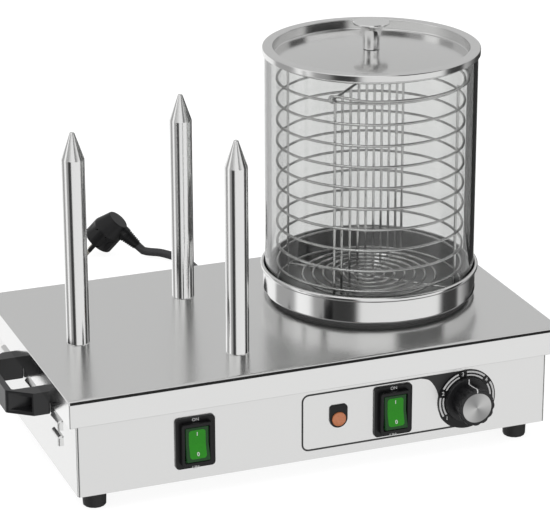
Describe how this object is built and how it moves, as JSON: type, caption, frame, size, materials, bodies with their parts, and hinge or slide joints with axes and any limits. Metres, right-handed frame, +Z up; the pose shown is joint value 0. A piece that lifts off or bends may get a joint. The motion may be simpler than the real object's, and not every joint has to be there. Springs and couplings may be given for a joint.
{
  "type": "hot dog spike machine",
  "caption": "Countertop hot dog maker with heated roll spikes, a glass steamer with a wire basket and lid, rocker switches, a thermostat knob and side handles.",
  "frame": {"origin": "on the table, under the middle of the box round the machine without its cord", "axes": "+Z up, +Y to the back, so the controls face -Y, +X to the right"},
  "size_m": [0.533, 0.6741, 0.3817],
  "materials": {
    "sheet_steel": "satin stainless sheet",
    "bright_steel": "polished stainless steel",
    "plain_steel": "plain zinc-plated steel",
    "black_plastic": "satin black moulded plastic",
    "foot_rubber": "black rubber",
    "seat_rubber": "black heat-proof rubber",
    "cord_rubber": "matt grey-black cord sheath",
    "clear_glass": "clear heat-proof glass",
    "green_plastic": "lit green rocker",
    "orange_plastic": "orange lamp lens",
    "pin_brass": "plug pins"
  },
  "bodies": {
    "base": {"body_shell": "sheet_steel", "cover_plate": "sheet_steel", "bottom_plate": "sheet_steel", "foot_front_left": "foot_rubber", "foot_front_right": "foot_rubber", "foot_back_left": "foot_rubber", "foot_back_right": "foot_rubber", "handle_left": "black_plastic", "handle_right": "black_plastic", "handle_screw_left_a": "plain_steel", "handle_screw_left_b": "plain_steel", "handle_screw_right_a": "plain_steel", "handle_screw_right_b": "plain_steel", "spike_left": "bright_steel", "spike_back": "bright_steel", "spike_front": "bright_steel", "spike_nut_left": "plain_steel", "spike_nut_back": "plain_steel", "spike_nut_front": "plain_steel", "pan": "bright_steel", "pan_seat_ring": "seat_rubber", "heater_plate": "plain_steel", "heater_element": "plain_steel", "switch_bezel_left": "black_plastic", "switch_bezel_right": "black_plastic", "pilot_tag": "black_plastic", "pilot_lens": "orange_plastic", "dial_plate": "black_plastic", "thermostat_body": "plain_steel", "terminal_block": "seat_rubber", "cord_gland": "black_plastic", "gland_nut": "black_plastic", "cord_exit": "cord_rubber", "cord_coil": "cord_rubber", "cord_tail": "cord_rubber", "plug_body": "black_plastic", "plug_neck": "black_plastic", "plug_pin_a": "pin_brass", "plug_pin_b": "pin_brass"},
    "glass": {"glass_cylinder": "clear_glass"},
    "basket": {"basket_cage": "bright_steel", "basket_partition": "bright_steel", "basket_base_grid": "bright_steel"},
    "bail": {"basket_bail": "bright_steel"},
    "lid": {"lid": "sheet_steel", "lid_knob": "bright_steel", "lid_knob_screw": "plain_steel"},
    "rocker_left": {"switch_rocker_left": "green_plastic"},
    "rocker_right": {"switch_rocker_right": "green_plastic"},
    "control_knob": {"thermostat_knob": "black_plastic", "knob_cap": "sheet_steel", "thermostat_shaft": "plain_steel"}
  },
  "joints": [
    {"name": "glass_lift", "type": "slide", "parent": "base", "child": "glass", "axis": [0, 0, 1], "range_m": [0, 0.26]},
    {"name": "basket_lift", "type": "slide", "parent": "glass", "child": "basket", "axis": [0, 0, 1], "range_m": [0, 0.26]},
    {"name": "lid_lift", "type": "slide", "parent": "basket", "child": "lid", "axis": [0, 0, 1], "range_m": [0, 0.3]},
    {"name": "bail_swing", "type": "hinge", "parent": "basket", "child": "bail", "pos_m": [0.1107, 0.0225, 0.3319], "axis": [-0.7071, -0.7071, 0], "range_deg": [0, 180]},
    {"name": "rocker_left_tilt", "type": "hinge", "parent": "base", "child": "rocker_left", "pos_m": [-0.1195, -0.127, 0.055], "axis": [1, 0, 0], "range_deg": [0, 16]},
    {"name": "rocker_right_tilt", "type": "hinge", "parent": "base", "child": "rocker_right", "pos_m": [0.0727, -0.127, 0.055], "axis": [1, 0, 0], "range_deg": [0, 16]},
    {"name": "thermostat_turn", "type": "hinge", "parent": "base", "child": "control_knob", "pos_m": [0.1472, -0.124, 0.0542], "axis": [0, -1, 0], "range_deg": [-135, 135]}
  ],
  "couplings": [
    {"joint": "bail_swing", "follows": "lid_lift", "rad_per_m": 10.47}
  ]
}
